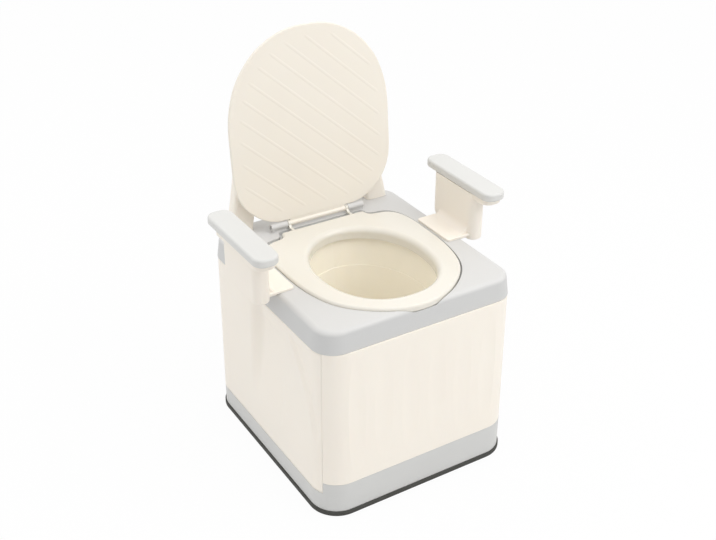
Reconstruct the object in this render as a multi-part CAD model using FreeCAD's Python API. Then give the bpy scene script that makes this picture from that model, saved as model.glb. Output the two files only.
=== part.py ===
import FreeCAD, Part
import math
import os

os.makedirs("parts", exist_ok=True)
V = FreeCAD.Vector

# Base and body, millimetres
BASE_W = 400.0
BASE_D = 441.0
BASE_R = 54.0
STRIP_H = 9.5
STRIP_IN = 14.0
TRAY_W = 395.0
TRAY_D = 436.0
TRAY_R = 51.5
TRAY_SIDE_Z = 46.0
TRAY_FRONT_Z = 68.0
TRAY_WALL = 4.0
LIP_IN = 6.2
LIP_T = 2.0
LIP_TOP = 80.0
SEAM = 0.3
TOUCH = 0.05
BODY_TOP = 335.0
BODY_TOP_W = 390.0
BODY_TOP_D = 431.0
BODY_TOP_R = 49.0
PANEL_T = 5.0
CORNER_X = TRAY_W / 2 - TRAY_R
CORNER_Y = TRAY_D / 2 - TRAY_R
FRONT_SEAM_DEG = 32.0
REAR_SEAM_DEG = 45.0
FLUTE_PITCH = 54.0
FLUTE_DEPTH = 1.3
FLUTE_R = 130.0
FLUTE_HALF = 118.0
FLUTE_Z = 203.0
FIELD_DEPTH = 2.6
GROOVE_W = 2.6
GROOVE_DEPTH = 1.2

# Deck
DECK_W = 390.0
DECK_D = 424.0
DECK_R = 42.0
DECK_TOP = 375.0
DECK_PLATE = 361.0
DECK_LEAN = 5.3
DECK_ROUND = 9.5
DECK_WALL = 6.5
SKIRT_GAP = 1.7
SKIRT_T = 2.3
SKIRT_DROP = 13.0
RECESS_Z = 367.0
RING_GAP = 2.6
RING_ASIDE = 1.5
REAR_ROOM = 8.0
BOWL_Y = -43.0
WELL_A = 118.0
WELL_B = 141.5

# Seat ring
RING_Z0 = 369.0
RING_Z1 = 380.5
RING_CAVITY = 376.0
RING_FLANGE_Z = 358.0
HOLE_A = 103.0
HOLE_B = 126.0
BUMPER_X = 136.0
BUMPER_Y = (-70.0, 55.0)

# Hinge line
AXIS_Y = 148.0
AXIS_Z = 384.0
ROD_R = 2.5
RUN_FIT = 0.05
KNUCKLE_R = 6.5
KNUCKLE_X0 = 65.0
KNUCKLE_X1 = 99.0
KNUCKLE_CUP = 4.2
CUP_DEPTH = 2.6
EYE_X0 = 59.5
EYE_X1 = 64.4
EYE_R = 6.0
ARM_END = 138.0
ARM_FOOT = 376.2
ARM_TOP = 379.6
BARREL_X = 59.0
BARREL_R = 5.0
WEB_L = 12.0

# Lid
LID_LOW = -2.2
LID_HIGH = 4.8
LID_FACE_ROUND = 2.5
LID_BACK_ROUND = 4.2
LID_OPEN_DEG = 95.5
RIDGE_DEG = -41.7
RIDGE_PITCH = 31.2
RIDGE_START = 172.8
RIDGE_MARGIN = 14.0
RIDGE_R = 9.0
RIDGE_H = 0.5
RIDGE_TAPER = 14.0

# Backrest
BACK_Y = AXIS_Y + 20.0
BACK_T = 26.0
BACK_LEAN = 5.5
BUFFER_T = BACK_Y - AXIS_Y - LID_HIGH + 0.4

# Armrests
PAD_X = 226.6
PAD_W = 45.6
PAD_Y0 = -101.5
PAD_Y1 = 98.2
PAD_Z0 = 461.4
PAD_Z1 = 476.2
PAD_CROWN = 4.2
PAD_END_R = 19.0
COLUMN_X0 = 204.0
COLUMN_X1 = 235.0
COLUMN_Y0 = -60.0
COLUMN_Y1 = 66.5
COLUMN_R = 14.5
COLUMN_WALL = 3.0
COLUMN_Z0 = 367.0
LIP_Z0 = 451.0
TAIL_Z0 = 456.0
TAIL_HALF = 11.0
LEDGE_X = 158.0
LEDGE_TOP = 379.7

# Screws
SCREW_R = 1.9
SCREW_HEAD_R = 4.2
SCREW_HEAD_H = 2.5
CROSS_L = 5.2
CROSS_W = 1.0
CROSS_DEPTH = 1.0

# Bucket
BUCKET_A = 115.5
BUCKET_B = 139.0
BUCKET_LEAN = 0.09
BUCKET_STEP = 0.9
BUCKET_STEP_Z = 300.0
BUCKET_Z = 92.0
BUCKET_T = 3.0


def save(shape, name):
    merged = shape.copy().removeSplitter()
    if abs(merged.Volume - shape.Volume) < 1e-4 * shape.Volume and merged.isValid():
        shape = merged
    solids = shape.Solids
    shape = solids[0] if len(solids) == 1 else shape
    print(name, len(solids), round(shape.Volume / 1000.0, 2), shape.isValid())
    shape.exportStep("parts/" + name + ".step")


def rounded(x0, x1, y0, y1, r, z):
    k = r * math.sqrt(0.5)
    pts = [V(x0 + r, y0, z), V(x1 - r, y0, z), V(x1 - r + k, y0 + r - k, z), V(x1, y0 + r, z),
           V(x1, y1 - r, z), V(x1 - r + k, y1 - r + k, z), V(x1 - r, y1, z), V(x0 + r, y1, z),
           V(x0 + r - k, y1 - r + k, z), V(x0, y1 - r, z), V(x0, y0 + r, z), V(x0 + r - k, y0 + r - k, z)]
    edges = []
    for i in (0, 3, 6, 9):
        if pts[i].distanceToPoint(pts[i + 1]) > 1e-6:
            edges.append(Part.LineSegment(pts[i], pts[i + 1]).toShape())
        edges.append(Part.Arc(pts[i + 1], pts[i + 2], pts[(i + 3) % 12]).toShape())
    return Part.Wire(edges)


def rrect(w, d, r, z):
    return rounded(-w / 2, w / 2, -d / 2, d / 2, r, z)


def raise_wire(wire, height):
    return Part.Face(wire).extrude(V(0, 0, height))


def block(w, d, r, z0, z1):
    return raise_wire(rrect(w, d, r, z0), z1 - z0)


def box(x0, x1, y0, y1, z0, z1):
    return Part.makeBox(x1 - x0, y1 - y0, z1 - z0, V(x0, y0, z0))


def polygon(points):
    return Part.Face(Part.makePolygon(points + [points[0]]))


def cyl_x(r, x0, x1, y, z):
    return Part.makeCylinder(r, x1 - x0, V(x0, y, z), V(1, 0, 0))


def cyl_z(r, x, y, z0, z1):
    return Part.makeCylinder(r, z1 - z0, V(x, y, z0), V(0, 0, 1))


# Outlines are chains of tangent arcs through nodes (x, y) or (x, y, heading in degrees)
def headings(nodes):
    curve = Part.BSplineCurve()
    curve.interpolate(Points=[V(n[0], n[1], 0.0) for n in nodes], PeriodicFlag=True)
    out = []
    for n in nodes:
        if len(n) > 2:
            a = math.radians(n[2])
            out.append(V(math.cos(a), math.sin(a), 0.0))
        else:
            t = curve.tangent(curve.parameter(V(n[0], n[1], 0.0)))[0]
            out.append(V(t.x, t.y, 0.0))
    return out


def outward(t):
    return V(t.y, -t.x, 0.0)


def arc_from(p, t, q):
    d = q - p
    n = V(-t.y, t.x, 0.0)
    h = n.dot(d)
    if abs(h) < 1e-6 * d.Length:
        return (p, (p + q) * 0.5, q, outward(t), outward(t), outward(t))
    s = d.dot(d) / (2.0 * h)
    c = p + n * s
    side = 1.0 if s > 0 else -1.0
    w = (p - c) + (q - c)
    r = abs(s)
    m = c + w * (r / w.Length)
    return (p, m, q, (p - c) * (side / r), (m - c) * (side / r), (q - c) * (side / r))


def outline(nodes):
    pts = [V(n[0], n[1], 0.0) for n in nodes]
    dirs = headings(nodes)
    segs = []
    for i in range(len(pts)):
        j = (i + 1) % len(pts)
        p, q, t0, t1 = pts[i], pts[j], dirs[i], dirs[j]
        v = q - p
        k = 2.0 * (1.0 - t0.dot(t1))
        vt = v.dot(t0 + t1)
        if k < 1e-9:
            d = v.dot(v) / (4.0 * v.dot(t1))
        else:
            d = (math.sqrt(vt * vt + k * v.dot(v)) - vt) / k
        m = (p + q + (t0 - t1) * d) * 0.5
        first = arc_from(p, t0, m)
        back_seg = arc_from(q, t1 * -1.0, m)
        second = (m, back_seg[1], q, back_seg[5] * -1.0, back_seg[4] * -1.0, back_seg[3] * -1.0)
        segs.append(first)
        segs.append(second)
    return segs


def chain_wire(segs, offset, z):
    edges = []
    lift = V(0, 0, z)
    for p, m, q, a, b, c in segs:
        p1 = p + a * offset + lift
        m1 = m + b * offset + lift
        q1 = q + c * offset + lift
        mid = (p1 + q1) * 0.5
        if mid.distanceToPoint(m1) < 1e-5:
            edges.append(Part.LineSegment(p1, q1).toShape())
        else:
            edges.append(Part.Arc(p1, m1, q1).toShape())
    return Part.Wire(edges)


def curve_prism(segs, offset, z0, z1):
    return raise_wire(chain_wire(segs, offset, z0), z1 - z0)


def mirrored(half):
    left = []
    for n in reversed(half):
        if n[0] > 1e-6:
            left.append((-n[0], n[1]) if len(n) == 2 else (-n[0], n[1], -n[2]))
    return half + left


def ellipse_prism(a, b, z0, z1):
    e = Part.Ellipse(V(0, BOWL_Y + b, z0), V(a, BOWL_Y, z0), V(0, BOWL_Y, z0))
    return raise_wire(Part.Wire(e.toShape()), z1 - z0)


def ellipse_wire(a, b, z):
    e = Part.Ellipse(V(0, BOWL_Y + b, z), V(a, BOWL_Y, z), V(0, BOWL_Y, z))
    return Part.Wire(e.toShape())


def both(shape):
    return shape, shape.mirror(V(0, 0, 0), V(1, 0, 0))


def edges_at(shape, z):
    found = []
    for e in shape.Edges:
        b = e.BoundBox
        if abs(b.ZMin - z) < 1e-4 and abs(b.ZMax - z) < 1e-4:
            found.append(e)
    return found


def cross_screw(x, y, seat_z, tip_z):
    top = seat_z - 0.1
    low = top - SCREW_HEAD_H
    head = cyl_z(SCREW_HEAD_R, x, y, low, top)
    head = head.makeFillet(1.2, edges_at(head, low))
    for w, d in ((CROSS_L, CROSS_W), (CROSS_W, CROSS_L)):
        head = head.cut(box(x - w / 2, x + w / 2, y - d / 2, y + d / 2, low - 1.0, low + CROSS_DEPTH))
    return head.fuse(cyl_z(SCREW_R, x, y, top - 0.1, tip_z))


# Anti-slip strip round the foot
strip = block(BASE_W, BASE_D, BASE_R, 0.0, STRIP_H)
strip = strip.makeFillet(1.8, edges_at(strip, STRIP_H) + edges_at(strip, 0.0))
strip = strip.cut(block(BASE_W - 2 * STRIP_IN, BASE_D - 2 * STRIP_IN, BASE_R - STRIP_IN, -1.0, STRIP_H + 1.0))
save(strip, "anti_slip_strip")


# Wedges that share the body out between its four panels
def reach(side, front, deg):
    a = math.radians(deg)
    cx = side * CORNER_X
    cy = front * CORNER_Y
    return V(cx + side * 140.0 * math.cos(a), cy + front * 140.0 * math.sin(a), 0.0)


def centre(side, front):
    return V(side * CORNER_X, front * CORNER_Y, 0.0)


def wedge(kind, slack):
    f = FRONT_SEAM_DEG
    r = REAR_SEAM_DEG
    if kind == "front":
        pts = [centre(-1, -1), reach(-1, -1, f + slack), reach(1, -1, f + slack), centre(1, -1)]
    elif kind == "rear":
        pts = [centre(1, 1), reach(1, 1, r + slack), reach(-1, 1, r + slack), centre(-1, 1)]
    else:
        pts = [centre(-1, 1), reach(-1, 1, r - slack), V(-330.0, 0.0, 0.0), reach(-1, -1, f - slack),
               centre(-1, -1)]
    return polygon(pts).extrude(V(0, 0, 400.0))


# Base tray
tray = block(TRAY_W, TRAY_D, TRAY_R, STRIP_H + 0.2, TRAY_SIDE_Z)
brow = block(TRAY_W, TRAY_D, TRAY_R, TRAY_SIDE_Z, TRAY_FRONT_Z).common(wedge("front", 0.0))
tray = tray.fuse(brow)
floor_z = STRIP_H + 0.2 + TRAY_WALL
inside = block(TRAY_W - 2 * TRAY_WALL, TRAY_D - 2 * TRAY_WALL, TRAY_R - TRAY_WALL, floor_z, 120.0)
tray = tray.cut(inside)
k = 2 * LIP_IN
lip = block(TRAY_W - k, TRAY_D - k, TRAY_R - LIP_IN, floor_z - 1.0, LIP_TOP)
k = 2 * (LIP_IN + LIP_T)
lip = lip.cut(block(TRAY_W - k, TRAY_D - k, TRAY_R - LIP_IN - LIP_T, floor_z - 2.0, LIP_TOP + 1.0))
tray = tray.fuse(lip)
rib = block(TRAY_W - 24.4, TRAY_D - 24.4, TRAY_R - 12.2, 5.0, STRIP_H + 1.0)
rib = rib.cut(block(TRAY_W - 30.4, TRAY_D - 30.4, TRAY_R - 15.2, 4.0, STRIP_H + 1.1))
tray = tray.fuse(rib)
save(tray, "base_tray")


# Body shell, drafted, then shared out as panels
def shell_level(z, inset):
    t = (z - TRAY_SIDE_Z) / (BODY_TOP - TRAY_SIDE_Z)
    w = TRAY_W + (BODY_TOP_W - TRAY_W) * t - 2 * inset
    d = TRAY_D + (BODY_TOP_D - TRAY_D) * t - 2 * inset
    r = TRAY_R + (BODY_TOP_R - TRAY_R) * t - inset
    return rrect(w, d, r, z)


def shell_front(z):
    t = (z - TRAY_SIDE_Z) / (BODY_TOP - TRAY_SIDE_Z)
    return -(TRAY_D + (BODY_TOP_D - TRAY_D) * t) / 2


shell_z0 = TRAY_SIDE_Z + SEAM
shell_z1 = BODY_TOP - SEAM
outer = Part.makeLoft([shell_level(shell_z0, 0.0), shell_level(shell_z1, 0.0)], True, True)
inner_ends = [shell_level(shell_z0 - 5.0, PANEL_T), shell_level(shell_z1 + 5.0, PANEL_T)]
inner = Part.makeLoft(inner_ends, True, True)
shell = outer.cut(inner)


def flute(x, sign):
    depth_y = shell_front(FLUTE_Z) - FLUTE_R + FLUTE_DEPTH
    tilt = (shell_front(BODY_TOP) - shell_front(TRAY_SIDE_Z)) / (BODY_TOP - TRAY_SIDE_Z)
    a = V(0, 0, -FLUTE_HALF * 1.15)
    b = V(0, 0, FLUTE_HALF * 1.15)
    end_r = FLUTE_R - FLUTE_DEPTH * 1.15 * 1.15
    p = V(end_r, 0, a.z)
    m = V(FLUTE_R, 0, 0)
    q = V(end_r, 0, b.z)
    face = Part.Face(Part.Wire([Part.LineSegment(a, p).toShape(), Part.Arc(p, m, q).toShape(),
                                Part.LineSegment(q, b).toShape(), Part.LineSegment(b, a).toShape()]))
    body = face.revolve(V(0, 0, 0), V(0, 0, 1), 360.0)
    body.rotate(V(0, 0, 0), V(1, 0, 0), -math.degrees(math.atan(tilt)))
    body.translate(V(x, depth_y, FLUTE_Z))
    if sign > 0:
        body = body.mirror(V(0, 0, 0), V(0, 1, 0))
    return body


front = shell.common(wedge("front", 0.0))
front = front.cut(box(-300, 300, -300, 0, 0.0, TRAY_FRONT_Z + SEAM))
rear = shell.common(wedge("rear", 0.0))
for i in range(6):
    x = (i - 2.5) * FLUTE_PITCH
    front = front.cut(flute(x, -1))
    rear = rear.cut(flute(x, 1))
save(front, "front_panel")
save(rear, "rear_panel")

side = shell.common(wedge("side", 0.2))
# Sunk field between the rear pilaster and the curved front crease, on the outer face
front_y = -TRAY_D / 2
rear_y = TRAY_D / 2
crease = [(front_y + 102.0, 307.0), (front_y + 87.0, 296.0), (front_y + 73.0, 277.0), (front_y + 61.0, 252.0),
          (front_y + 47.0, 214.0), (front_y + 36.0, 172.0), (front_y + 30.0, 125.0), (front_y + 28.5, 82.0)]
curve = Part.BSplineCurve()
curve.interpolate([V(-260.0, y, z) for y, z in crease])
field_yz = [(front_y + 28.5, 82.0), (front_y + 28.5, 64.0), (rear_y - 142.0, 64.0), (rear_y - 169.0, 307.0),
            (rear_y - 198.0, 304.0), (front_y + 156.0, 288.0), (front_y + 126.0, 290.0),
            (front_y + 102.0, 307.0)]
field_pts = [V(-260.0, y, z) for y, z in field_yz]
field_edges = [curve.toShape()]
for i in range(len(field_pts) - 1):
    field_edges.append(Part.LineSegment(field_pts[i], field_pts[i + 1]).toShape())
field_wire = Part.Wire(field_edges)
field = Part.Face(field_wire).extrude(V(120.0, 0, 0))
deep = Part.makeLoft([shell_level(shell_z0, FIELD_DEPTH), shell_level(shell_z1, FIELD_DEPTH)], True, True)
side = side.cut(field.cut(deep))
# Thin upright bead inside the field
bead_foot = V(-TRAY_W / 2 + FIELD_DEPTH + 0.9, front_y + 150.0, 96.0)
bead = Part.makeCylinder(1.1, 150.0, bead_foot, V(0.0095, 0, 1))
side = side.fuse(bead)
# Groove that carries the crease up to the deck
groove_yz = [(front_y + 146.0, 336.0), (front_y + 128.0, 326.5), (front_y + 112.0, 316.0),
             (front_y + 96.0, 302.0)]
near_rim = []
far_rim = []
for i, p in enumerate(groove_yz):
    a = groove_yz[max(i - 1, 0)]
    b = groove_yz[min(i + 1, len(groove_yz) - 1)]
    run = math.hypot(b[0] - a[0], b[1] - a[1])
    dy = (b[1] - a[1]) / run * GROOVE_W / 2
    dz = -(b[0] - a[0]) / run * GROOVE_W / 2
    near_rim.append(V(-260.0, p[0] + dy, p[1] + dz))
    far_rim.append(V(-260.0, p[0] - dy, p[1] - dz))
groove = polygon(near_rim + far_rim[::-1]).extrude(V(120.0, 0, 0))
shallow_ends = [shell_level(shell_z0, GROOVE_DEPTH), shell_level(shell_z1, GROOVE_DEPTH)]
shallow = Part.makeLoft(shallow_ends, True, True)
side = side.cut(groove.cut(shallow))
left_side, right_side = both(side)
save(left_side, "left_side_panel")
save(right_side, "right_side_panel")

# Outlines of the ring, its opening and the lid
RING_HALF = [(0.0, -208.5, 0.0), (55.0, -196.5), (92.0, -172.5), (117.0, -147.5), (133.0, -120.5),
             (142.5, -91.0), (149.0, -54.0), (151.3, 0.0, 90.0), (149.5, 60.0), (142.0, 86.0),
             (131.0, 100.0), (116.5, 106.6), (103.5, 108.6), (94.4, 112.2), (89.9, 118.4),
             (89.2, 122.6, 90.0), (82.8, 129.0, 180.0), (0.0, 129.0, 180.0)]
RING = outline(mirrored(RING_HALF))


# The recess round the ring opens out behind it, and the ring lies to its left and front
def recess_node(n):
    k = min(max((n[1] - 30.0) / 70.0, 0.0), 1.0)
    return (n[0], n[1] + REAR_ROOM * k * k * (3.0 - 2.0 * k)) + tuple(n[2:])


recess_nodes = mirrored([recess_node(n) for n in RING_HALF])
RECESS = outline([(n[0] + RING_ASIDE, n[1] + RING_ASIDE) + tuple(n[2:]) for n in recess_nodes])


def hole_nodes():
    nodes = []
    for i in range(20):
        a = 2 * math.pi * i / 20
        c = math.cos(a)
        s = math.sin(a)
        n = 2.25 if s < -1e-9 else 2.0
        x = HOLE_A * math.copysign(abs(c) ** (2 / n), c)
        y = HOLE_B * math.copysign(abs(s) ** (2 / n), s)
        nx = math.copysign(abs(x / HOLE_A) ** (n - 1) / HOLE_A, c)
        ny = math.copysign(abs(y / HOLE_B) ** (n - 1) / HOLE_B, s)
        nodes.append((x, BOWL_Y + y, math.degrees(math.atan2(nx, -ny))))
    return nodes


HOLE = outline(hole_nodes())


# Deck, drafted towards a rounded upper edge, with an inner skirt that drops into the body
def deck_form(grow):
    low = rrect(DECK_W + 2 * grow, DECK_D + 2 * grow, DECK_R + grow, BODY_TOP)
    k = grow - DECK_LEAN
    high = rrect(DECK_W + 2 * k, DECK_D + 2 * k, DECK_R + k, DECK_TOP + grow)
    form = Part.makeLoft([low, high], True, True)
    return form.makeFillet(DECK_ROUND, edges_at(form, DECK_TOP + grow))


def body_rect(inset, z0, z1):
    return block(BODY_TOP_W - 2 * inset, BODY_TOP_D - 2 * inset, BODY_TOP_R - inset, z0, z1)


deck = deck_form(0.0)
k = 2 * DECK_WALL
deck = deck.cut(block(DECK_W - k, DECK_D - k, DECK_R - DECK_WALL, BODY_TOP - 1.0, DECK_PLATE - 14.0))
k = 2 * (DECK_WALL + 8.5)
deck = deck.cut(block(DECK_W - k, DECK_D - k, DECK_R - DECK_WALL - 8.5, BODY_TOP - 1.0, DECK_PLATE))
skirt_in = PANEL_T + SKIRT_GAP
skirt = body_rect(skirt_in, BODY_TOP - SKIRT_DROP, DECK_PLATE - 8.0)
skirt = skirt.cut(body_rect(skirt_in + SKIRT_T, BODY_TOP - SKIRT_DROP - 1.0, DECK_PLATE - 7.0))
deck = deck.fuse(skirt.common(box(-300, 300, -300, 300, BODY_TOP - SKIRT_DROP, DECK_PLATE)))
deck = deck.cut(curve_prism(RECESS, RING_GAP, RECESS_Z, DECK_TOP + 10.0))
deck = deck.cut(ellipse_prism(WELL_A, WELL_B, BODY_TOP - 20.0, DECK_TOP + 10.0))

# Backrest, built upright and then leant back about its front foot
edge_pts = [(169.5, -8.0), (160.0, 45.0), (149.0, 96.0), (139.0, 145.0), (127.0, 198.0), (108.0, 240.0),
            (78.0, 268.0), (40.0, 281.0), (0.0, 284.5)]
arch_pts = [(126.0, -8.0), (118.5, 26.0), (108.0, 66.0), (90.0, 96.0), (62.0, 114.0), (30.0, 121.0),
            (0.0, 122.5)]


def spline_edge(pts, y):
    full = pts + [(-x, z) for x, z in reversed(pts[:-1])]
    c = Part.BSplineCurve()
    c.interpolate([V(x, y, z) for x, z in full])
    return c.toShape(), V(full[0][0], y, full[0][1]), V(full[-1][0], y, full[-1][1])


out_edge, o0, o1 = spline_edge(edge_pts, 0.0)
in_edge, i0, i1 = spline_edge(arch_pts, 0.0)
wire = Part.Wire([out_edge, Part.LineSegment(o1, i1).toShape(), in_edge, Part.LineSegment(i0, o0).toShape()])
back = Part.Face(wire).extrude(V(0, BACK_T, 0))
round_edges = []
for e in back.Edges:
    b = e.BoundBox
    if b.YMax - b.YMin < 1e-4 and e.Length > 60.0:
        round_edges.append(e)
back = back.makeFillet(7.0, round_edges)
tongue_l = box(-158.0, -130.0, 7.0, 19.0, -24.0, 4.0)
tongue_r = box(130.0, 158.0, 7.0, 19.0, -24.0, 4.0)
slot_l = box(-158.4, -129.6, 6.6, 19.4, -60.0, 40.0)
slot_r = box(129.6, 158.4, 6.6, 19.4, -60.0, 40.0)
buffer_pieces = []
for x in (-70.0, 70.0):
    b = Part.makeCylinder(9.0, BUFFER_T, V(x, -BUFFER_T, 205.0), V(0, 1, 0))
    rim = [e for e in b.Edges if abs(e.BoundBox.YMax + BUFFER_T) < 1e-4]
    buffer_pieces.append(b.makeFillet(2.0, rim))


def lean(shape):
    shape.translate(V(0, BACK_Y, DECK_TOP + SEAM))
    shape.rotate(V(0, BACK_Y, DECK_TOP + SEAM), V(-1, 0, 0), BACK_LEAN)
    return shape


back = lean(back)
back = back.cut(box(-250, 250, 100, 300, 200.0, DECK_TOP + SEAM))
back = back.fuse(lean(tongue_l)).fuse(lean(tongue_r))
save(back, "backrest")
save(lean(buffer_pieces[0]), "backrest_buffer_left")
save(lean(buffer_pieces[1]), "backrest_buffer_right")
deck = deck.cut(lean(slot_l)).cut(lean(slot_r))

# Armrest, right hand, mirrored for the left
cover = deck_form(SEAM)
column_plan = rounded(COLUMN_X0, COLUMN_X1, COLUMN_Y0, COLUMN_Y1, COLUMN_R, COLUMN_Z0)
column = raise_wire(column_plan, PAD_Z0 - 0.2 - COLUMN_Z0)
low_edges = edges_at(column, COLUMN_Z0)
column = column.makeFillet(3.0, low_edges)
trim_yz = [(58, 384), (COLUMN_Y1, LIP_Z0), (90, LIP_Z0), (90, 350), (42, 350), (42, 369)]
trim = polygon([V(190, y, z) for y, z in trim_yz]).extrude(V(60, 0, 0))
column = column.cut(trim)
plate_half = PAD_W / 2 - 3.0
plate_ends = (PAD_Y0 + 8.0, COLUMN_Y1 + 3.0)
plate_plan = rounded(PAD_X - plate_half, PAD_X + plate_half, *plate_ends, PAD_END_R - 3.5, LIP_Z0)
plate = raise_wire(plate_plan, PAD_Z0 - 0.2 - LIP_Z0)
plate = plate.makeFillet(2.5, edges_at(plate, LIP_Z0))
# Narrow tail under the back end of the pad, for its rear screw
tail_plan = rounded(PAD_X - TAIL_HALF, PAD_X + TAIL_HALF, COLUMN_Y1 - 20, PAD_Y1 - 4, TAIL_HALF - 1, TAIL_Z0)
plate = plate.fuse(raise_wire(tail_plan, PAD_Z0 - 0.2 - TAIL_Z0))
ledge_plan = rounded(LEDGE_X, COLUMN_X0 + 8, -52.0, 48.0, 6.0, DECK_TOP + SEAM)
ledge = raise_wire(ledge_plan, LEDGE_TOP - DECK_TOP - SEAM)
ledge = ledge.makeFillet(1.5, edges_at(ledge, LEDGE_TOP))
shoulder = box(178.0, COLUMN_X0 + 4, -47.0, 41.0, COLUMN_Z0 + 3.5, LEDGE_TOP - 0.5).cut(cover)
cove = box(COLUMN_X0 - 14, COLUMN_X0 + 3, -47.0, 41.0, LEDGE_TOP - 1.0, LEDGE_TOP + 14)
cove = cove.cut(Part.makeCylinder(14.0, 120.0, V(COLUMN_X0 - 14, -60.0, LEDGE_TOP + 14), V(0, 1, 0)))
bracket = column.fuse(plate).fuse(ledge).fuse(shoulder).fuse(cove)
bore_x = (COLUMN_X0 + COLUMN_WALL, COLUMN_X1 - COLUMN_WALL)
bore_plan = rounded(*bore_x, COLUMN_Y0 + COLUMN_WALL, 54.0, COLUMN_R - COLUMN_WALL, 394.0)
bracket = bracket.cut(raise_wire(bore_plan, 90.0))
for y in (-40.0, 24.0):
    bracket = bracket.fuse(box(163.0, 173.0, y, y + 12.0, 362.5, DECK_TOP + 2.0))
    slot = box(162.7, 173.3, y - 0.3, y + 12.3, 340.0, DECK_TOP + 4.0)
    for s in both(slot):
        deck = deck.cut(s)
pad_plan = rounded(PAD_X - PAD_W / 2, PAD_X + PAD_W / 2, PAD_Y0, PAD_Y1, PAD_END_R, PAD_Z0)
pad = raise_wire(pad_plan, PAD_Z1 - PAD_Z0)
pad = pad.makeFillet(PAD_CROWN, edges_at(pad, PAD_Z1))
pad = pad.makeFillet(2.8, edges_at(pad, PAD_Z0))
screw_marks = ((-84.0, LIP_Z0, "front"), (83.0, TAIL_Z0, "rear"))
for y, seat_z, where in screw_marks:
    bracket = bracket.cut(cyl_z(SCREW_R + 0.3, PAD_X, y, LIP_Z0 - 5, PAD_Z0 + 1))
    pad = pad.cut(cyl_z(SCREW_R + 0.05, PAD_X, y, PAD_Z0 - 1, PAD_Z0 + 11.0))
    right_screw, left_screw = both(cross_screw(PAD_X, y, seat_z, PAD_Z0 + 10.5))
    save(left_screw, "pad_screw_left_" + where)
    save(right_screw, "pad_screw_right_" + where)
right_bracket, left_bracket = both(bracket)
right_pad, left_pad = both(pad)
save(left_bracket, "armrest_bracket_left")
save(right_bracket, "armrest_bracket_right")
save(left_pad, "armrest_pad_left")
save(right_pad, "armrest_pad_right")

# Seat ring
ring = curve_prism(RING, 0.0, RING_Z0, RING_Z1)
top_rim = edges_at(ring, RING_Z1)
ring = ring.makeFillet(5.0, top_rim)
ring = ring.fuse(curve_prism(HOLE, 3.0, RING_FLANGE_Z, RING_Z0 + 4.0))
ring = ring.cut(curve_prism(HOLE, 0.0, RING_FLANGE_Z - 5.0, RING_Z1 + 5.0))
inner_rim = []
for e in edges_at(ring, RING_Z1):
    c = e.CenterOfMass
    if (c.x / (HOLE_A + 4.0)) ** 2 + ((c.y - BOWL_Y) / (HOLE_B + 4.0)) ** 2 < 1.0:
        inner_rim.append(e)
ring = ring.makeFillet(10.5, inner_rim)
hollow = curve_prism(RING, -4.0, RING_Z0 - 1.0, RING_CAVITY)
hollow = hollow.cut(curve_prism(HOLE, 11.0, RING_Z0 + 2.5, RING_Z1))
hollow = hollow.cut(curve_prism(HOLE, 3.0, RING_Z0 - 2.0, RING_Z1))
hollow = hollow.cut(box(-100, 100, 118.0, 160.0, 360.0, 390.0))
ring = ring.cut(hollow)
bumper_no = 0
for x in (-BUMPER_X, BUMPER_X):
    for y in BUMPER_Y:
        bumper_no += 1
        ring = ring.fuse(cyl_z(6.0, x, y, 371.0, RING_CAVITY + 1.0))
        bumper = cyl_z(5.0, x, y, RECESS_Z + SEAM, 370.95)
        bumper = bumper.makeFillet(1.2, edges_at(bumper, RECESS_Z + SEAM))
        save(bumper, "seat_bumper_%d" % bumper_no)
# Two arms on the back of the ring
arm_yz = [(121.0, 371.0), (127.5, 371.0), (133.0, ARM_FOOT), (ARM_END, ARM_FOOT), (ARM_END, ARM_TOP),
          (121.0, ARM_TOP)]
arm = polygon([V(EYE_X0, y, z) for y, z in arm_yz]).extrude(V(EYE_X1 - EYE_X0, 0, 0))
for a in both(arm):
    ring = ring.fuse(a)
save(ring, "seat_ring")

# Hinge eyes, set on the ends of the ring's arms
eye_yz = [(ARM_END + TOUCH, ARM_FOOT), (AXIS_Y, 378.2), (AXIS_Y, AXIS_Z), (142.6, AXIS_Z),
          (ARM_END + TOUCH, ARM_TOP)]
eye = polygon([V(EYE_X0, y, z) for y, z in eye_yz]).extrude(V(EYE_X1 - EYE_X0, 0, 0))
eye = eye.fuse(cyl_x(EYE_R, EYE_X0, EYE_X1, AXIS_Y, AXIS_Z))
eye = eye.cut(cyl_x(ROD_R + RUN_FIT, -70, 70, AXIS_Y, AXIS_Z))
right_eye, left_eye = both(eye)
save(left_eye, "seat_hinge_eye_left")
save(right_eye, "seat_hinge_eye_right")

# Lid, drawn shut and then swung open on the hinge line
LID = [(0.0, 361.6, 0.0), (22.0, 360.8), (42.0, 357.6), (63.0, 350.8), (84.4, 340.0), (103.0, 327.3),
       (118.8, 312.0), (132.8, 294.6), (144.9, 274.4), (153.5, 252.8), (159.7, 230.0), (162.9, 208.0),
       (164.1, 180.0, 90.0), (164.1, 132.0, 90.0), (162.4, 92.0), (156.8, 69.6), (146.2, 49.6), (130.2, 32.0),
       (112.0, 18.8), (92.0, 10.4), (74.0, 7.6, 180.0), (0.0, 7.6, 180.0)]
LID_XY = outline(mirrored([(n[0], AXIS_Y - n[1]) + tuple(n[2:]) for n in LID]))
lid = curve_prism(LID_XY, 0.0, AXIS_Z + LID_LOW, AXIS_Z + LID_HIGH)
lid = lid.makeFillet(LID_BACK_ROUND, edges_at(lid, AXIS_Z + LID_HIGH))
lid = lid.makeFillet(LID_FACE_ROUND, edges_at(lid, AXIS_Z + LID_LOW))
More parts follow.
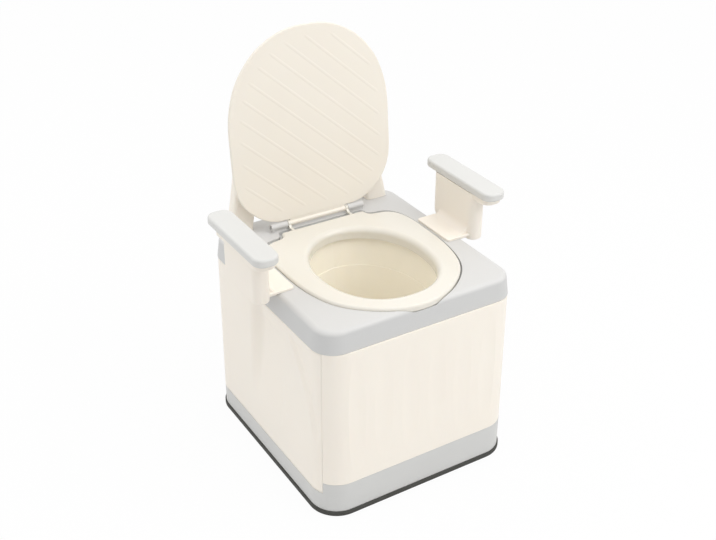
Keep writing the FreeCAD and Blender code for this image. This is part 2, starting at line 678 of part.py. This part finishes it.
# Low slanting ridges with tapered ends on the inner face
along = V(math.cos(math.radians(RIDGE_DEG)), -math.sin(math.radians(RIDGE_DEG)), 0.0)
across = V(-along.y, along.x, 0.0)
middle = V(0.0, AXIS_Y - RIDGE_START, 0.0)
border = []
for seg in LID_XY:
    border.append(seg[0] - seg[3] * RIDGE_MARGIN)
for i in range(-6, 7):
    base = middle + across * (i * RIDGE_PITCH)
    cuts = []
    for j in range(len(border)):
        p = border[j] - base
        q = border[(j + 1) % len(border)] - base
        a = p.dot(across)
        b = q.dot(across)
        if (a < 0) != (b < 0):
            cuts.append(p.dot(along) + (q.dot(along) - p.dot(along)) * a / (a - b))
    if len(cuts) == 2 and abs(cuts[1] - cuts[0]) > 3 * RIDGE_TAPER:
        t0 = min(cuts)
        t1 = max(cuts)
        lift = V(0, 0, AXIS_Z + LID_LOW - RIDGE_H + RIDGE_R)
        thin = RIDGE_R - RIDGE_H - 0.1
        run = t1 - t0 - 2 * RIDGE_TAPER
        bar = Part.makeCylinder(RIDGE_R, run, base + along * (t0 + RIDGE_TAPER) + lift, along)
        head = Part.makeCone(thin, RIDGE_R, RIDGE_TAPER, base + along * t0 + lift, along)
        tail = Part.makeCone(RIDGE_R, thin, RIDGE_TAPER, base + along * (t1 - RIDGE_TAPER) + lift, along)
        roof = box(-400, 400, -400, 400, AXIS_Z + LID_LOW - 3.0, AXIS_Z + LID_LOW + 1.0)
        lid = lid.fuse(bar.fuse(head).fuse(tail).common(roof))
# Hinge barrel, on a web that follows the rounded lower edge of the lid
edge = lid.copy()
edge.translate(V(0, TOUCH, 0))
web = box(-BARREL_X, BARREL_X, AXIS_Y - WEB_L, AXIS_Y, AXIS_Z + LID_LOW + 0.4, AXIS_Z + LID_HIGH - 0.6)
barrel = web.cut(edge).fuse(cyl_x(BARREL_R, -BARREL_X, BARREL_X, AXIS_Y, AXIS_Z))
barrel = barrel.cut(cyl_x(ROD_R + RUN_FIT, -70, 70, AXIS_Y, AXIS_Z))
for piece in (lid, barrel):
    piece.rotate(V(0, AXIS_Y, AXIS_Z), V(-1, 0, 0), LID_OPEN_DEG)
save(barrel, "lid_hinge_barrel")
save(lid, "lid")

# Hinge rod and knuckles
rod_half = KNUCKLE_X1 - CUP_DEPTH + 1.0
rod = cyl_x(ROD_R, -rod_half, rod_half, AXIS_Y, AXIS_Z)
rod = rod.makeFillet(0.8, [e for e in rod.Edges if e.BoundBox.XMax - e.BoundBox.XMin < 1e-4])
save(rod, "hinge_rod")
knuckle = cyl_x(KNUCKLE_R, KNUCKLE_X0, KNUCKLE_X1, AXIS_Y, AXIS_Z)
ends = [e for e in knuckle.Edges if e.BoundBox.XMax - e.BoundBox.XMin < 1e-4]
knuckle = knuckle.makeFillet(1.2, ends)
knuckle = knuckle.fuse(box(KNUCKLE_X0 + 2, KNUCKLE_X1 - 2, AXIS_Y - 3.8, AXIS_Y + 5.6, DECK_TOP, AXIS_Z))
knuckle = knuckle.cut(box(50, 120, 120, 170, 360.0, DECK_TOP + TOUCH))
knuckle = knuckle.cut(cyl_x(KNUCKLE_CUP, KNUCKLE_X1 - CUP_DEPTH, KNUCKLE_X1 + 1, AXIS_Y, AXIS_Z))
knuckle = knuckle.cut(cyl_x(ROD_R + RUN_FIT, KNUCKLE_X0 - 1, KNUCKLE_X1, AXIS_Y, AXIS_Z))
for x, where in ((75.0, "inner"), (91.0, "outer")):
    knuckle = knuckle.cut(cyl_z(SCREW_R + 0.05, x, AXIS_Y, 370.0, 379.6))
    for s in both(cyl_z(SCREW_R + 0.3, x, AXIS_Y, 350.0, 390.0)):
        deck = deck.cut(s)
    right_screw, left_screw = both(cross_screw(x, AXIS_Y, DECK_PLATE, 379.2))
    save(left_screw, "hinge_screw_left_" + where)
    save(right_screw, "hinge_screw_right_" + where)
right_knuckle, left_knuckle = both(knuckle)
save(left_knuckle, "hinge_knuckle_left")
save(right_knuckle, "hinge_knuckle_right")
save(deck, "deck")

# Bucket and its folded handle
rim_z = RECESS_Z + 2.0


def bucket_level(z, inset):
    shrink = inset + BUCKET_LEAN * (rim_z - z)
    return ellipse_wire(BUCKET_A - shrink, BUCKET_B - shrink, z)


def bucket_form(z0, z1, step_z, inset, corner):
    narrow = inset + BUCKET_STEP
    lower = Part.makeLoft([bucket_level(z0, narrow), bucket_level(step_z, narrow)], True, True)
    lower = lower.makeFillet(corner, edges_at(lower, z0))
    upper = Part.makeLoft([bucket_level(step_z, inset), bucket_level(z1, inset)], True, True)
    return lower.fuse(upper)


bucket = bucket_form(BUCKET_Z, rim_z, BUCKET_STEP_Z - BUCKET_T, 0.0, 14.0)
flange = ellipse_prism(131.0, 155.0, RECESS_Z + SEAM, RECESS_Z + 3.2)
bucket = bucket.fuse(flange)
bucket = bucket.cut(bucket_form(BUCKET_Z + BUCKET_T, rim_z + 10.0, BUCKET_STEP_Z, BUCKET_T, 12.0))
bail = ellipse_prism(129.0, 153.0, RECESS_Z + 3.4, RECESS_Z + 5.6)
bail = bail.cut(ellipse_prism(123.5, 147.5, RECESS_Z, RECESS_Z + 10.0))
bail = bail.cut(box(-200, 200, BOWL_Y, 200, 300, 400))
for x in (-126.2, 126.2):
    bail = bail.fuse(cyl_z(4.6, x, BOWL_Y, RECESS_Z + 3.4, RECESS_Z + 5.6))
    bail = bail.fuse(cyl_z(1.6, x, BOWL_Y, RECESS_Z + 0.6, RECESS_Z + 4.0))
    bucket = bucket.cut(cyl_z(1.7, x, BOWL_Y, RECESS_Z - 5.0, RECESS_Z + 9.0))
save(bucket, "bucket")
save(bail, "bucket_handle")
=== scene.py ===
import math

import bmesh
import bpy
from mathutils import Matrix, Vector


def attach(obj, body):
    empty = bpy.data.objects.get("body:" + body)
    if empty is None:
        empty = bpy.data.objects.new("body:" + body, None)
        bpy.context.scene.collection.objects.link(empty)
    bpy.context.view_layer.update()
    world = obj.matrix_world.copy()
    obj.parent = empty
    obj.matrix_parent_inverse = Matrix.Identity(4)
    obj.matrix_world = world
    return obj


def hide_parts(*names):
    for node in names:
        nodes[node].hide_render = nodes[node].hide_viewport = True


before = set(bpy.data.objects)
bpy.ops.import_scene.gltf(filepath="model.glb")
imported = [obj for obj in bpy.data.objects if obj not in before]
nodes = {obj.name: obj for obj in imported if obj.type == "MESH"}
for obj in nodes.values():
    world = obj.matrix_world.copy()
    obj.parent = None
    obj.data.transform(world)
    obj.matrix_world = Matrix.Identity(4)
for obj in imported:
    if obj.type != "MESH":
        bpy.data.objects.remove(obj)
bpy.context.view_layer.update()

MM = 0.001

# Camera, from the photograph: place in metres, angles in degrees, lens in millimetres on a 36 mm sensor
EYE = (-0.8957, -1.4569, 1.3313)
YAW = 31.55
PITCH = 30.13
ROLL = 0.19
LENS = 55.19
SENSOR = 36.0

# Floor: half its side and its drop below the feet, metres, and the share of plain white in what is seen of it
FLOOR_HALF = 6.0
FLOOR_DROP = 0.0004
FLOOR_WHITE = 0.95
# The sky brightens along this direction, between these two heights on it, to this strength
SKY_WAY = (-0.08, 0.0, 0.92)
SKY_FROM = -0.4
SKY_TO = 1.0
SKY_STRENGTH = 1.4
# Softboxes: name, place and target in metres, diameter in metres, power in watts
SOFTBOXES = (
    ("right_softbox", (1.3, -1.5, 2.0), (0.0, 0.0, 0.3), 1.8, 18.0),
    ("left_softbox", (-1.7, 1.8, 1.3), (0.0, 0.0, 0.3), 1.8, 7.0),
    ("top_softbox", (0.3, -0.7, 2.4), (0.0, -0.04, 0.3), 1.6, 4.5),
)

# Patterns of the finishes, and how deep light goes into plastic, millimetres
COLOUR_DRIFT = 140.0
POLISH_PATCH = 38.0
LIGHT_DEPTH = 3.0
DUST_PATCH = 22.0
RUBBER_PEBBLE = 1.6
RUBBER_PEBBLE_DEPTH = 0.15
DRAW_LINE_LENGTH = 9.0
PAPER_CLOUD = 300.0
# A draw line is this many times as long as it is wide
DRAW_LINE_SLIMNESS = 14.0
# Upward part of the normal below which a face counts as a wall and takes the full painted wall shade, and
# above which it counts as a top and takes none
SHADED_WALL_UP = 0.2
UNSHADED_TOP_UP = 0.7
# How far the roughness of plastic wavers to either side
POLISH_WAVER = 0.05

# Body shell: the side panels follow a rounded rectangle that tapers upwards, millimetres and degrees
CORNER_X = 146.0
CORNER_Y = 166.5
PANEL_Z0 = 46.3
PANEL_Z1 = 334.7
FOOT_R = 51.5
HEAD_R = 49.0
WALL = 5.0
BACK_EDGE = 135.3
FLAT = 180.0
FRONT_EDGE = 211.7
ROWS = 72
BACK_STEPS = 12
FLAT_STEPS = 84
FRONT_STEPS = 10

# Relief of the sides, millimetres; a pair is where a slope starts and where it ends
HEAD_FADE_Z = (334.0, 306.0)
CREASE_SWEEP_Z = (330.0, 150.0)
CREASE_FOOT_Y = -184.0
CREASE_REACH = 88.0
CREASE_BEND = 1.7
CREASE_W = 11.0
CREASE_DEPTH = 4.5
CREASE_FADE_Z = (140.0, 190.0)
CREASE_FRONT_Y = -200.0
FIELD_Y = 14.0
FIELD_LEVEL = 283.0
FIELD_LEAN = 20.0
FIELD_BACK = (36.0, 6.0)
FIELD_FADE_Z = (85.0, 235.0)
FIELD_DEPTH = 11.0
BROW_TOP_Z = (295.0, 286.0)
BROW_FOOT_Z = (180.0, 280.0)
BROW_FRONT_Y = (-95.0, -35.0)
BROW_BACK_Y = (48.0, 18.0)
BROW_DEPTH = 1.8
RIB_Y = -71.0
RIB_LEVEL = 238.0
RIB_LEAN = 19.0
RIB_FRONT = (-25.0, 0.0)
RIB_BACK = (5.0, 0.0)
RIB_FOOT_Z = (96.0, 110.0)
RIB_TOP_Z = (242.0, 182.0)
RIB_HEIGHT = 1.0

# Lid, open at rest: its hinge line, its opening angle, how far its inner face lies from that line, in metres
HINGE = Vector((0.0, 148.0 * MM, 384.0 * MM))
LID_OPEN = math.radians(95.5)
LID_FACE = 2.2 * MM
LID_FACE_SLACK = 0.01 * MM
# Ridges on that face: the share of their height that is kept, and the cosine of the steepest slope on them
RIDGE_SHARE = 0.65
RIDGE_STEEPEST = 0.8


def linear(hex_colour):
    """sRGB hex to the linear colour a shader socket takes."""
    out = []
    for i in (1, 3, 5):
        c = int(hex_colour[i:i + 2], 16) / 255.0
        out.append(c / 12.92 if c <= 0.04045 else ((c + 0.055) / 1.055) ** 2.4)
    return (*out, 1.0)


def per_mm(size):
    """Texture scale that gives a pattern of that size in millimetres, in object coordinates."""
    return 1.0 / (size * MM)


def add(tree, kind, inputs=None, **settings):
    """One node with its settings; an input that is a socket is linked, any other is set."""
    node = tree.nodes.new(kind)
    for key, value in settings.items():
        setattr(node, key, value)
    for key, value in (inputs or {}).items():
        if isinstance(value, bpy.types.NodeSocket):
            tree.links.new(value, node.inputs[key])
        else:
            node.inputs[key].default_value = value
    return node


def new_material(name):
    """Material with an empty node tree."""
    material = bpy.data.materials.new(name)
    material.use_nodes = True
    material.node_tree.nodes.clear()
    return material, material.node_tree


def moulded_plastic(name, pale, deep, rough, grain_mm, grain_depth, gloss_coat=0.0, glow=0.0, painted_wall_shade=None):
    """Injection-moulded plastic: an even colour that drifts a little with wall thickness,
    a fine spark-eroded grain in the bump, and a roughness that wavers where the mould was polished.
    A wall colour, where there is one, is painted shade: the upright faces take it, a shade deeper than the
    tops, for the lesser light that falls on them.
    Such a grain is about 0.3 mm wide, too fine to show here, so it is drawn coarser."""
    material, tree = new_material(name)
    place = add(tree, "ShaderNodeTexCoord").outputs["Object"]
    drift = add(tree, "ShaderNodeTexNoise", {"Vector": place, "Scale": per_mm(COLOUR_DRIFT), "Detail": 2.0})
    tint = add(tree, "ShaderNodeMix", {"Factor": drift.outputs["Fac"], "A": linear(pale), "B": linear(deep)},
               data_type="RGBA")
    if painted_wall_shade:
        # Painted shade: faces turn from the deeper wall colour to the plain tint as they face upwards
        normal = add(tree, "ShaderNodeNewGeometry").outputs["Normal"]
        facing = add(tree, "ShaderNodeSeparateXYZ", {0: normal})
        level = add(tree, "ShaderNodeMapRange", {"Value": facing.outputs["Z"], "From Min": SHADED_WALL_UP,
                                                 "From Max": UNSHADED_TOP_UP})
        tint = add(tree, "ShaderNodeMix", {"Factor": level.outputs["Result"], "A": linear(painted_wall_shade),
                                           "B": tint.outputs["Result"]}, data_type="RGBA")
    polish = add(tree, "ShaderNodeTexNoise", {"Vector": place, "Scale": per_mm(POLISH_PATCH), "Detail": 3.0})
    sheen = add(tree, "ShaderNodeMapRange", {"Value": polish.outputs["Fac"], "To Min": rough - POLISH_WAVER,
                                             "To Max": rough + POLISH_WAVER})
    grain = add(tree, "ShaderNodeTexNoise", {"Vector": place, "Scale": per_mm(grain_mm), "Detail": 2.0,
                                             "Roughness": 0.6})
    relief = add(tree, "ShaderNodeBump", {"Height": grain.outputs["Fac"], "Strength": 0.35,
                                          "Distance": grain_depth * MM})
    shader = add(tree, "ShaderNodeBsdfPrincipled", {
        "Base Color": tint.outputs["Result"], "Roughness": sheen.outputs["Result"], "IOR": 1.5,
        "Coat Weight": gloss_coat, "Coat Roughness": 0.12, "Subsurface Weight": glow,
        "Subsurface Radius": (1.0, 0.75, 0.5), "Subsurface Scale": LIGHT_DEPTH * MM,
        "Normal": relief.outputs["Normal"]})
    add(tree, "ShaderNodeOutputMaterial", {"Surface": shader.outputs["BSDF"]})
    return material


def moulded_rubber(name, pale, deep):
    """Moulded rubber: matt, dusty in patches, with a pebbled skin.
    The pebbles are drawn coarser than such a skin has them, so that they show."""
    material, tree = new_material(name)
    place = add(tree, "ShaderNodeTexCoord").outputs["Object"]
    dust = add(tree, "ShaderNodeTexNoise", {"Vector": place, "Scale": per_mm(DUST_PATCH), "Detail": 4.0})
    tint = add(tree, "ShaderNodeMix", {"Factor": dust.outputs["Fac"], "A": linear(deep), "B": linear(pale)},
               data_type="RGBA")
    pebble = add(tree, "ShaderNodeTexVoronoi", {"Vector": place, "Scale": per_mm(RUBBER_PEBBLE)})
    relief = add(tree, "ShaderNodeBump", {"Height": pebble.outputs["Distance"], "Strength": 0.4,
                                          "Distance": RUBBER_PEBBLE_DEPTH * MM})
    shader = add(tree, "ShaderNodeBsdfPrincipled", {"Base Color": tint.outputs["Result"], "Roughness": 0.78,
                                                    "IOR": 1.52, "Normal": relief.outputs["Normal"]})
    add(tree, "ShaderNodeOutputMaterial", {"Surface": shader.outputs["BSDF"]})
    return material


def zinc_plated_steel(name):
    """Drawn steel with a bright zinc plate: draw lines along the rod, in tint and gloss.
    The lines are drawn far coarser than drawing leaves them, because those are too fine to show."""
    material, tree = new_material(name)
    place = add(tree, "ShaderNodeTexCoord").outputs["Object"]
    run = add(tree, "ShaderNodeMapping", {"Vector": place,
                                          "Scale": (1.0, DRAW_LINE_SLIMNESS, DRAW_LINE_SLIMNESS)})
    lines = add(tree, "ShaderNodeTexNoise", {"Vector": run.outputs["Vector"],
                                             "Scale": per_mm(DRAW_LINE_LENGTH), "Detail": 3.0})
    tint = add(tree, "ShaderNodeMix", {"Factor": lines.outputs["Fac"], "A": linear("#A9ABAC"),
                                       "B": linear("#CFD1D1")}, data_type="RGBA")
    rough = add(tree, "ShaderNodeMapRange", {"Value": lines.outputs["Fac"], "To Min": 0.28, "To Max": 0.42})
    shader = add(tree, "ShaderNodeBsdfPrincipled", {"Base Color": tint.outputs["Result"], "Metallic": 1.0,
                                                    "Roughness": rough.outputs["Result"]})
    add(tree, "ShaderNodeOutputMaterial", {"Surface": shader.outputs["BSDF"]})
    return material


# Moulded ABS: satin and even, with a soft edge to its highlights
CREAM_ABS = moulded_plastic("cream_abs_fine_grain", "#F7F1E6", "#F4ECE1", 0.46, 1.1, 0.05, glow=0.04)
GRAY_ABS = moulded_plastic("gray_abs_fine_grain", "#D5D4D2", "#D0CFCD", 0.44, 1.1, 0.06)
# The deck's upright faces are painted a deeper gray, as painted shade for the lesser light on them
DECK_ABS_SHADED_WALLS = moulded_plastic("gray_abs_deck_grain_painted_wall_shade", "#D3D2D0", "#CFCECC", 0.44, 1.1, 0.06, painted_wall_shade="#CACAC9")
PAD_ABS = moulded_plastic("gray_abs_soft_touch", "#D9D9D6", "#D5D4D1", 0.5, 0.9, 0.05)
BASE_ABS = moulded_plastic("base_gray_abs_grain", "#D1D1CF", "#CDCDCB", 0.48, 1.1, 0.06)
# Moulded polypropylene: smoother and slightly waxy, the ring glossy where it is wiped clean
RING_PP = moulded_plastic("cream_polypropylene_gloss", "#E5E1D7", "#E2DDD2", 0.24, 2.2, 0.02,
                          gloss_coat=0.35, glow=0.06)
LID_PP = moulded_plastic("cream_polypropylene_satin", "#F1EBE0", "#EEE7DB", 0.38, 1.4, 0.04, glow=0.06)
BUCKET_PP = moulded_plastic("bucket_polypropylene_satin", "#FFFAED", "#FFF8E8", 0.34, 2.0, 0.03, glow=0.08)
# Moulded rubber: matt and dusty, for the strip, the bumpers and the buffers
STRIP_RUBBER = moulded_rubber("black_moulded_rubber", "#4A4A47", "#35352F")
GRAY_RUBBER = moulded_rubber("gray_moulded_rubber", "#9A9B98", "#878884")
# Zinc-plated steel: cool and bright, for the hinge rod and the screws
ZINC_STEEL = zinc_plated_steel("zinc_plated_steel")

# Finish of a node by its name, or else by the first word here that its name holds, or else cream ABS
FINISH = {
    "anti_slip_strip": STRIP_RUBBER,
    "base_tray": BASE_ABS,
    "deck": DECK_ABS_SHADED_WALLS,
    "bucket": BUCKET_PP,
    "bucket_handle": GRAY_ABS,
    "seat_ring": RING_PP,
    "seat_hinge_eye_left": RING_PP,
    "seat_hinge_eye_right": RING_PP,
    "lid": LID_PP,
    "lid_hinge_barrel": LID_PP,
    "hinge_rod": ZINC_STEEL,
}
FINISH_BY_WORD = (
    ("screw", ZINC_STEEL),
    ("bumper", GRAY_RUBBER),
    ("buffer", GRAY_RUBBER),
    ("pad", PAD_ABS),
    ("knuckle", GRAY_ABS),
)


def dress(name, node):
    """Gives a CAD node its finish."""
    by_word = [finish for word, finish in FINISH_BY_WORD if word in name]
    node.data.materials.clear()
    node.data.materials.append(FINISH.get(name) or (by_word + [CREAM_ABS])[0])


def ramp(value, start, end):
    """Straight rise from 0 at start to 1 at end, level beyond them."""
    return min(max((value - start) / (end - start), 0.0), 1.0)


def ease(value, start, end):
    """Smooth rise from 0 at start to 1 at end, level beyond them."""
    t = ramp(value, start, end)
    return t * t * (3.0 - 2.0 * t)


def side_relief(y, z):
    """Depth of the moulded side at a place on its flat: a sweeping crease near the front, a field behind it
    that falls away to the back under a soft brow, and a thin upright rib."""
    crease = CREASE_FOOT_Y + CREASE_REACH * (1.0 - ramp(z, *CREASE_SWEEP_Z)) ** CREASE_BEND
    front = ease(y, crease + CREASE_W, crease) * ease(z, *CREASE_FADE_Z) * ramp(y, CREASE_FRONT_Y, crease)
    middle = FIELD_Y + (FIELD_LEVEL - z) / FIELD_LEAN
    field = ease(y - middle, *FIELD_BACK) * ease(z, *FIELD_FADE_Z) * ramp(y, crease + CREASE_W, middle)
    brow = ease(z, *BROW_TOP_Z) * ease(z, *BROW_FOOT_Z) * ease(y, *BROW_FRONT_Y) * ease(y, *BROW_BACK_Y)
    off = y - RIB_Y - (RIB_LEVEL - z) / RIB_LEAN
    rib = ease(off, *RIB_FRONT) * ease(off, *RIB_BACK) * ease(z, *RIB_FOOT_Z) * ease(z, *RIB_TOP_Z)
    hollow = CREASE_DEPTH * front + FIELD_DEPTH * field + BROW_DEPTH * brow
    return ease(z, *HEAD_FADE_Z) * (RIB_HEIGHT * rib - hollow)


def side_panel(node, hand):
    """Side panel as a closed shell of even thickness, with the relief in both faces and rims all round."""
    path = [(CORNER_Y, BACK_EDGE + (FLAT - BACK_EDGE) * i / BACK_STEPS) for i in range(BACK_STEPS)]
    path += [(CORNER_Y - 2.0 * CORNER_Y * i / FLAT_STEPS, FLAT) for i in range(FLAT_STEPS + 1)]
    path += [(-CORNER_Y, FLAT + (FRONT_EDGE - FLAT) * i / FRONT_STEPS) for i in range(1, FRONT_STEPS + 1)]
    shape = bmesh.new()
    skins = []
    for inset in (0.0, WALL):
        skin = []
        for row in range(ROWS + 1):
            z = PANEL_Z0 + (PANEL_Z1 - PANEL_Z0) * row / ROWS
            radius = FOOT_R + (HEAD_R - FOOT_R) * row / ROWS - inset
            line = []
            for middle, turn in path:
                out = radius + side_relief(middle + math.radians(FLAT - turn) * FOOT_R, z)
                x = -CORNER_X + out * math.cos(math.radians(turn))
                y = middle + out * math.sin(math.radians(turn))
                line.append(shape.verts.new((-hand * x * MM, y * MM, z * MM)))
            skin.append(line)
        for low, high in zip(skin, skin[1:]):
            for i in range(len(path) - 1):
                shape.faces.new((low[i], low[i + 1], high[i + 1], high[i])).smooth = True
        skins.append(skin)
    outer, inner = skins
    rims = [(outer[end], inner[end]) for end in (0, -1)]
    rims += [([line[end] for line in outer], [line[end] for line in inner]) for end in (0, -1)]
    for near, far in rims:
        for i in range(len(near) - 1):
            shape.faces.new((near[i], near[i + 1], far[i + 1], far[i]))
    bmesh.ops.recalc_face_normals(shape, faces=shape.faces)
    name = node + "_moulded"
    mesh = bpy.data.meshes.new(name)
    shape.to_mesh(mesh)
    shape.free()
    mesh.materials.append(CREAM_ABS)
    panel = bpy.data.objects.new(name, mesh)
    bpy.context.scene.collection.objects.link(panel)
    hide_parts(node)
    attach(panel, "base")


def soft_ridged_lid(name):
    """Lid whose inner ridges have a share of their height, so that they show only as soft lines."""
    source = nodes["lid"]
    mesh = source.data.copy()
    mesh.name = name
    inward = Vector((0.0, -math.sin(LID_OPEN), -math.cos(LID_OPEN)))
    heights = [(vertex.co - HINGE).dot(inward) - LID_FACE for vertex in mesh.vertices]
    normals = []
    for loop, corner in zip(mesh.loops, mesh.corner_normals):
        normal = Vector(corner.vector)
        facing = inward * normal.dot(inward)
        if normal.dot(inward) > RIDGE_STEEPEST and heights[loop.vertex_index] > -LID_FACE_SLACK:
            normal = (facing + (normal - facing) * RIDGE_SHARE).normalized()
        normals.append(normal)
    for vertex, height in zip(mesh.vertices, heights):
        if height > 0.0:
            vertex.co -= inward * height * (1.0 - RIDGE_SHARE)
    mesh.normals_split_custom_set(normals)
    lid = bpy.data.objects.new(name, mesh)
    lid.matrix_world = source.matrix_world
    bpy.context.scene.collection.objects.link(lid)
    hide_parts("lid")
    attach(lid, "lid_leaf")


def background_rays(tree):
    """Socket that is 1 where the background is looked at, straight, in a reflection or through glass."""
    path = add(tree, "ShaderNodeLightPath")
    seen = add(tree, "ShaderNodeMath", {0: path.outputs["Is Camera Ray"], 1: path.outputs["Is Glossy Ray"]},
               operation="MAXIMUM")
    through = add(tree, "ShaderNodeMath", {0: seen.outputs["Value"], 1: path.outputs["Is Transmission Ray"]},
                  operation="MAXIMUM")
    return through.outputs["Value"]


def paper_floor():
    """White paper: matt and faintly cloudy, seen almost as plain white, with only a soft shadow on it."""
    paper, tree = new_material("white_paper_floor")
    place = add(tree, "ShaderNodeTexCoord").outputs["Object"]
    fibre = add(tree, "ShaderNodeTexNoise", {"Vector": place, "Scale": per_mm(PAPER_CLOUD), "Detail": 2.0})
    white = add(tree, "ShaderNodeMix", {"Factor": fibre.outputs["Fac"], "A": linear("#E3E3E3"),
                                        "B": linear("#E0E0E0")}, data_type="RGBA")
    matt = add(tree, "ShaderNodeBsdfDiffuse", {"Color": white.outputs["Result"]})
    lift = add(tree, "ShaderNodeEmission", {"Color": linear("#FFFFFF"), "Strength": 1.0})
    share = add(tree, "ShaderNodeMath", {0: background_rays(tree), 1: FLOOR_WHITE}, operation="MULTIPLY")
    both = add(tree, "ShaderNodeMixShader", {0: share.outputs["Value"], 1: matt.outputs["BSDF"],
                                             2: lift.outputs["Emission"]})
    add(tree, "ShaderNodeOutputMaterial", {"Surface": both.outputs["Shader"]})
    shape = bpy.data.meshes.new("paper_floor")
    corners = [(FLOOR_HALF * x, FLOOR_HALF * y, 0.0) for x, y in ((-1, -1), (1, -1), (1, 1), (-1, 1))]
    shape.from_pydata(corners, [], [(0, 1, 2, 3)])
    shape.materials.append(paper)
    floor = bpy.data.objects.new("paper_floor", shape)
    floor.location.z = -FLOOR_DROP
    bpy.context.scene.collection.objects.link(floor)


def white_sky():
    """World that lights the object most from above and is plain white where it is looked at."""
    world = bpy.data.worlds.new("white_studio")
    bpy.context.scene.world = world
    world.use_nodes = True
    tree = world.node_tree
    tree.nodes.clear()
    way = add(tree, "ShaderNodeTexCoord").outputs["Generated"]
    lean = add(tree, "ShaderNodeVectorMath", {0: way, 1: SKY_WAY}, operation="DOT_PRODUCT")
    soft = add(tree, "ShaderNodeMapRange", {"Value": lean.outputs["Value"], "From Min": SKY_FROM,
                                            "From Max": SKY_TO, "To Min": 0.0, "To Max": SKY_STRENGTH})
    level = add(tree, "ShaderNodeMix", {"Factor": background_rays(tree), "A": soft.outputs["Result"],
                                        "B": 1.0}, data_type="FLOAT")
    sky = add(tree, "ShaderNodeBackground", {"Color": linear("#FFFFFF"), "Strength": level.outputs["Result"]})
    add(tree, "ShaderNodeOutputWorld", {"Surface": sky.outputs["Background"]})


def softbox(name, place, target, size, power):
    """Round soft lamp that looks at its target."""
    light = bpy.data.lights.new(name, "AREA")
    light.shape = "DISK"
    light.size = size
    light.energy = power
    lamp = bpy.data.objects.new(name, light)
    lamp.location = place
    lamp.rotation_euler = (Vector(target) - Vector(place)).to_track_quat("-Z", "Y").to_euler()
    bpy.context.scene.collection.objects.link(lamp)


def photo_camera():
    """Camera at the photograph's viewing angle."""
    lens = bpy.data.cameras.new("photo_camera")
    lens.sensor_fit = "HORIZONTAL"
    lens.sensor_width = SENSOR
    lens.lens = LENS
    camera = bpy.data.objects.new("photo_camera", lens)
    turn = Matrix.Rotation(math.radians(-YAW), 4, "Z") @ Matrix.Rotation(math.radians(90.0 - PITCH), 4, "X")
    camera.matrix_world = Matrix.Translation(EYE) @ turn @ Matrix.Rotation(math.radians(ROLL), 4, "Z")
    bpy.context.scene.collection.objects.link(camera)
    bpy.context.scene.camera = camera


for name, node in nodes.items():
    dress(name, node)
side_panel("left_side_panel", -1)
side_panel("right_side_panel", 1)
soft_ridged_lid("lid_soft_ridges")

bpy.context.scene.view_settings.view_transform = "Standard"
paper_floor()
white_sky()
for lamp in SOFTBOXES:
    softbox(*lamp)
photo_camera()
